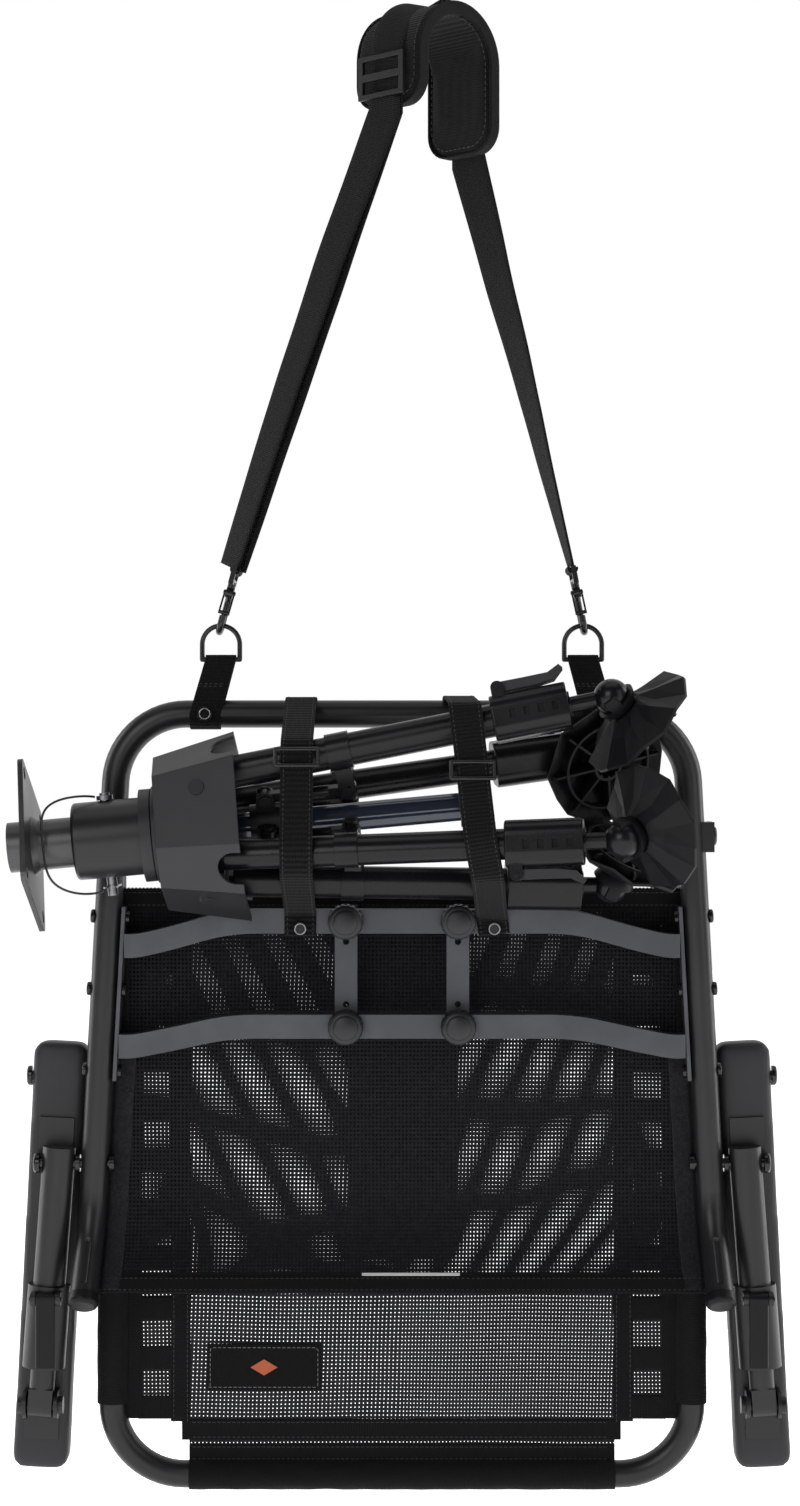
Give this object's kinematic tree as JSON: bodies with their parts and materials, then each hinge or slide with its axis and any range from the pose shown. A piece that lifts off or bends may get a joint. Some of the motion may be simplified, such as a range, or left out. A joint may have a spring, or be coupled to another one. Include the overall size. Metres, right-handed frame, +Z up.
{
  "type": "folding swivel hunting chair",
  "caption": "Folded swivel hunting chair carried by a shoulder strap, with its collapsed multi-leg swivel stand strapped across the open end of the seat frame.",
  "frame": {"origin": "middle of the seat's sling, in the plane of the seat's side tubes, between the four knobs", "axes": "+Z up as the chair hangs from its strap, +X to the right seen from under the seat, +Y from the underside of the seat to the side a person sits on"},
  "size_m": [0.6282, 0.2283, 1.1935],
  "materials": {
    "frame_paint": "fine matt black powder coat",
    "bar_paint": "satin gunmetal paint",
    "leg_paint": "satin black paint",
    "post_gloss": "gloss black coat",
    "plate_steel": "dull grey steel with a thin dark coat",
    "pin_steel": "plain zinc plated wire and pin",
    "bolts": "blackened steel",
    "strap_metal": "black coated wire",
    "black_plastic": "moulded black plastic",
    "shroud_plastic": "lightly textured charcoal moulding",
    "seat_mesh": "open coated mesh",
    "back_cloth": "woven black cloth with mesh windows",
    "webbing": "flat woven webbing",
    "pad_cloth": "padded cloth with bound edge",
    "arm_foam": "soft moulded arm pad",
    "lanyard_cable": "thin coated cable"
  },
  "bodies": {
    "seat": {"seat_tube": "frame_paint", "seat_end_caps": "black_plastic", "seat_fabric": "seat_mesh", "cross_bars": "bar_paint", "mount_plates": "bar_paint", "frame_fasteners": "bolts", "ring_tabs": "webbing", "stand_straps": "webbing", "strap_buckles": "strap_metal"},
    "backrest": {"backrest_tube": "frame_paint", "backrest_fabric": "back_cloth", "armrest_bolts": "bolts"},
    "carry_strap": {"d_rings": "strap_metal", "snap_hooks": "strap_metal", "strap_webbing": "webbing", "shoulder_pad": "pad_cloth", "tri_glide": "black_plastic"},
    "gate_left": {"gate_left": "strap_metal"},
    "gate_right": {"gate_right": "strap_metal"},
    "hub": {"hub_shroud": "shroud_plastic", "hub_core": "shroud_plastic", "centre_post": "post_gloss"},
    "swivel": {"swivel_shaft": "plate_steel", "swivel_collar": "frame_paint", "lanyard": "lanyard_cable"},
    "lock_pin": {"lock_pin": "pin_steel"},
    "clip": {"hairpin_clip": "pin_steel"},
    "slider": {"slider_collar": "black_plastic"},
    "armrest_left": {"armrest_pad_left": "arm_foam", "armrest_bracket_left": "frame_paint"},
    "prop_left": {"prop_left": "frame_paint"},
    "prop_lever_left": {"prop_lever_left": "black_plastic"},
    "armrest_right": {"armrest_pad_right": "arm_foam", "armrest_bracket_right": "frame_paint"},
    "prop_right": {"prop_right": "frame_paint"},
    "prop_lever_right": {"prop_lever_right": "black_plastic"},
    "knob_1": {"knob_1": "black_plastic"},
    "leg_1": {"leg_tube_1": "leg_paint"},
    "leg_lever_1": {"leg_lever_1": "shroud_plastic"},
    "lower_leg_1": {"lower_leg_1": "leg_paint"},
    "foot_1": {"foot_1": "shroud_plastic"},
    "brace_1": {"brace_1": "leg_paint"},
    "knob_2": {"knob_2": "black_plastic"},
    "leg_2": {"leg_tube_2": "leg_paint"},
    "leg_lever_2": {"leg_lever_2": "shroud_plastic"},
    "lower_leg_2": {"lower_leg_2": "leg_paint"},
    "foot_2": {"foot_2": "shroud_plastic"},
    "brace_2": {"brace_2": "leg_paint"},
    "knob_3": {"knob_3": "black_plastic"},
    "leg_3": {"leg_tube_3": "leg_paint"},
    "leg_lever_3": {"leg_lever_3": "shroud_plastic"},
    "lower_leg_3": {"lower_leg_3": "leg_paint"},
    "foot_3": {"foot_3": "shroud_plastic"},
    "brace_3": {"brace_3": "leg_paint"},
    "knob_4": {"knob_4": "black_plastic"},
    "leg_4": {"leg_tube_4": "leg_paint"},
    "leg_lever_4": {"leg_lever_4": "shroud_plastic"},
    "lower_leg_4": {"lower_leg_4": "leg_paint"},
    "foot_4": {"foot_4": "shroud_plastic"},
    "brace_4": {"brace_4": "leg_paint"}
  },
  "joints": [
    {"name": "backrest_fold", "type": "hinge", "parent": "seat", "child": "backrest", "pos_m": [0, 0.028, 0.108], "axis": [1, 0, 0], "range_deg": [0, 100]},
    {"name": "armrest_left_turn", "type": "hinge", "parent": "backrest", "child": "armrest_left", "pos_m": [-0.2756, 0.028, -0.0856], "axis": [1, 0, 0], "range_deg": [-100, 0]},
    {"name": "prop_left_turn", "type": "hinge", "parent": "seat", "child": "prop_left", "pos_m": [-0.275, 0, -0.1528], "axis": [1, 0, 0], "range_deg": [0, 100]},
    {"name": "prop_left_clamp", "type": "hinge", "parent": "prop_left", "child": "prop_lever_left", "pos_m": [-0.28261, -0.022, -0.258], "axis": [-1, 0, 0], "range_deg": [0, 75]},
    {"name": "armrest_right_turn", "type": "hinge", "parent": "backrest", "child": "armrest_right", "pos_m": [0.2756, 0.028, -0.0856], "axis": [1, 0, 0], "range_deg": [-100, 0]},
    {"name": "prop_right_turn", "type": "hinge", "parent": "seat", "child": "prop_right", "pos_m": [0.275, 0, -0.1528], "axis": [1, 0, 0], "range_deg": [0, 100]},
    {"name": "prop_right_clamp", "type": "hinge", "parent": "prop_right", "child": "prop_lever_right", "pos_m": [0.28261, -0.022, -0.258], "axis": [-1, 0, 0], "range_deg": [0, 75]},
    {"name": "strap_swing", "type": "hinge", "parent": "seat", "child": "carry_strap", "pos_m": [0, 0, 0.25], "axis": [1, 0, 0], "range_deg": [-60, 60]},
    {"name": "gate_left_press", "type": "hinge", "parent": "carry_strap", "child": "gate_left", "pos_m": [-0.13784, -0.003, 0.30298], "axis": [0.9659, 0, -0.2588], "range_deg": [0, 22], "stiffness_Nm_per_rad": 0.02},
    {"name": "gate_right_press", "type": "hinge", "parent": "carry_strap", "child": "gate_right", "pos_m": [0.13967, -0.003, 0.30341], "axis": [0.9816, 0, 0.1908], "range_deg": [0, 22], "stiffness_Nm_per_rad": 0.02},
    {"name": "knob_1_turn", "type": "hinge", "parent": "seat", "child": "knob_1", "pos_m": [-0.0445, -0.035, 0.042], "axis": [0, -1, 0], "continuous": true},
    {"name": "knob_2_turn", "type": "hinge", "parent": "seat", "child": "knob_2", "pos_m": [0.0445, -0.035, 0.042], "axis": [0, -1, 0], "continuous": true},
    {"name": "knob_3_turn", "type": "hinge", "parent": "seat", "child": "knob_3", "pos_m": [-0.0445, -0.035, -0.041], "axis": [0, -1, 0], "continuous": true},
    {"name": "knob_4_turn", "type": "hinge", "parent": "seat", "child": "knob_4", "pos_m": [0.0445, -0.035, -0.041], "axis": [0, -1, 0], "continuous": true},
    {"name": "stand_lift", "type": "slide", "parent": "seat", "child": "hub", "axis": [0, -1, 0], "range_m": [0, 0.45], "deforming": ["stand_straps", "strap_buckles"]},
    {"name": "head_swivel", "type": "hinge", "parent": "hub", "child": "swivel", "pos_m": [-0.19837, -0.071, 0.11116], "axis": [0.9959, 0, 0.0906], "continuous": true},
    {"name": "lock_pin_pull", "type": "slide", "parent": "swivel", "child": "lock_pin", "axis": [-0.0906, 0, 0.9959], "range_m": [0, 0.085], "deforming": ["lanyard"]},
    {"name": "clip_pull", "type": "slide", "parent": "swivel", "child": "clip", "axis": [0, 1, 0], "range_m": [0, 0.03]},
    {"name": "slider_run", "type": "slide", "parent": "hub", "child": "slider", "axis": [0.9959, 0, 0.0906], "range_m": [0, 0.00995]},
    {"name": "leg_1_open", "type": "hinge", "parent": "hub", "child": "leg_1", "pos_m": [-0.15717, -0.08959, 0.15495], "axis": [0.0383, -0.9063, -0.4209], "range_deg": [0, 15.5]},
    {"name": "brace_1_turn", "type": "hinge", "parent": "slider", "child": "brace_1", "pos_m": [-0.10605, -0.08072, 0.14049], "axis": [0.0383, -0.9063, -0.4209], "range_deg": [0, 29.15]},
    {"name": "leg_1_extend", "type": "slide", "parent": "leg_1", "child": "lower_leg_1", "axis": [0.9796, -0.0491, 0.1949], "range_m": [0, 0.15581]},
    {"name": "foot_1_tilt", "type": "hinge", "parent": "lower_leg_1", "child": "foot_1", "pos_m": [0.16041, -0.10551, 0.21812], "axis": [0.0383, -0.9063, -0.4209], "range_deg": [0, 34.5]},
    {"name": "leg_1_clamp", "type": "hinge", "parent": "leg_1", "child": "leg_lever_1", "pos_m": [0.0732, -0.0985, 0.22404], "axis": [-0.072, -0.991, 0.1126], "range_deg": [0, 60]},
    {"name": "leg_2_open", "type": "hinge", "parent": "hub", "child": "leg_2", "pos_m": [-0.15524, -0.03112, 0.13375], "axis": [-0.0821, -0.4226, 0.9026], "range_deg": [0, 15.5]},
    {"name": "brace_2_turn", "type": "hinge", "parent": "slider", "child": "brace_2", "pos_m": [-0.10504, -0.05015, 0.12941], "axis": [-0.0821, -0.4226, 0.9026], "range_deg": [0, 29.15]},
    {"name": "leg_2_extend", "type": "slide", "parent": "leg_2", "child": "lower_leg_2", "axis": [0.9847, 0.1053, 0.1389], "range_m": [0, 0.1699]},
    {"name": "foot_2_tilt", "type": "hinge", "parent": "lower_leg_2", "child": "foot_2", "pos_m": [0.15011, 0.00152, 0.17683], "axis": [-0.0821, -0.4226, 0.9026], "range_deg": [0, 54.5]},
    {"name": "leg_2_clamp", "type": "hinge", "parent": "leg_2", "child": "leg_lever_2", "pos_m": [0.07783, 0.01674, 0.16992], "axis": [-0.1235, -0.141, 0.9823], "range_deg": [0, 60]},
    {"name": "leg_3_open", "type": "hinge", "parent": "hub", "child": "leg_3", "pos_m": [-0.15187, -0.11088, 0.09672], "axis": [0.0821, 0.4226, -0.9026], "range_deg": [0, 15.5]},
    {"name": "brace_3_turn", "type": "hinge", "parent": "slider", "child": "brace_3", "pos_m": [-0.10328, -0.09184, 0.11005], "axis": [0.0821, 0.4226, -0.9026], "range_deg": [0, 29.15]},
    {"name": "leg_3_extend", "type": "slide", "parent": "leg_3", "child": "lower_leg_3", "axis": [0.9936, -0.1053, 0.0411], "range_m": [0, 0.15983]},
    {"name": "foot_3_tilt", "type": "hinge", "parent": "lower_leg_3", "child": "foot_3", "pos_m": [0.16625, -0.14458, 0.10989], "axis": [0.0821, 0.4226, -0.9026], "range_deg": [0, 19.5]},
    {"name": "leg_3_clamp", "type": "hinge", "parent": "leg_3", "child": "leg_lever_3", "pos_m": [0.08699, -0.13723, 0.08361], "axis": [0.1071, 0.9932, -0.0453], "range_deg": [0, 60]},
    {"name": "leg_4_open", "type": "hinge", "parent": "hub", "child": "leg_4", "pos_m": [-0.14994, -0.05241, 0.07552], "axis": [-0.0383, 0.9063, 0.4209], "range_deg": [0, 15.5]},
    {"name": "brace_4_turn", "type": "hinge", "parent": "slider", "child": "brace_4", "pos_m": [-0.10227, -0.06128, 0.09897], "axis": [-0.0383, 0.9063, 0.4209], "range_deg": [0, 29.15]},
    {"name": "leg_4_extend", "type": "slide", "parent": "leg_4", "child": "lower_leg_4", "axis": [0.9987, 0.0491, -0.0148], "range_m": [0, 0.16487]},
    {"name": "foot_4_tilt", "type": "hinge", "parent": "lower_leg_4", "child": "foot_4", "pos_m": [0.16478, -0.03694, 0.07085], "axis": [-0.0383, 0.9063, 0.4209], "range_deg": [0, 46.5]},
    {"name": "leg_4_clamp", "type": "hinge", "parent": "leg_4", "child": "leg_lever_4", "pos_m": [0.0885, -0.02072, 0.08343], "axis": [0.0373, -0.4972, 0.8669], "range_deg": [0, 60]}
  ],
  "couplings": [
    {"joint": "armrest_left_turn", "follows": "backrest_fold", "ratio": -1},
    {"joint": "prop_left_turn", "follows": "backrest_fold", "ratio": 1},
    {"joint": "armrest_right_turn", "follows": "backrest_fold", "ratio": -1},
    {"joint": "prop_right_turn", "follows": "backrest_fold", "ratio": 1},
    {"joint": "slider_run", "follows": "stand_lift", "ratio": 0.02211},
    {"joint": "leg_1_open", "follows": "stand_lift", "rad_per_m": 0.60117},
    {"joint": "brace_1_turn", "follows": "stand_lift", "rad_per_m": 1.1304},
    {"joint": "leg_1_extend", "follows": "stand_lift", "ratio": 0.34623},
    {"joint": "foot_1_tilt", "follows": "stand_lift", "rad_per_m": 1.3381},
    {"joint": "leg_2_open", "follows": "stand_lift", "rad_per_m": 0.60117},
    {"joint": "brace_2_turn", "follows": "stand_lift", "rad_per_m": 1.1304},
    {"joint": "leg_2_extend", "follows": "stand_lift", "ratio": 0.37756},
    {"joint": "foot_2_tilt", "follows": "stand_lift", "rad_per_m": 2.1138},
    {"joint": "leg_3_open", "follows": "stand_lift", "rad_per_m": 0.60117},
    {"joint": "brace_3_turn", "follows": "stand_lift", "rad_per_m": 1.1304},
    {"joint": "leg_3_extend", "follows": "stand_lift", "ratio": 0.35518},
    {"joint": "foot_3_tilt", "follows": "stand_lift", "rad_per_m": 0.75631},
    {"joint": "leg_4_open", "follows": "stand_lift", "rad_per_m": 0.60117},
    {"joint": "brace_4_turn", "follows": "stand_lift", "rad_per_m": 1.1304},
    {"joint": "leg_4_extend", "follows": "stand_lift", "ratio": 0.36637},
    {"joint": "foot_4_tilt", "follows": "stand_lift", "rad_per_m": 1.8035}
  ]
}
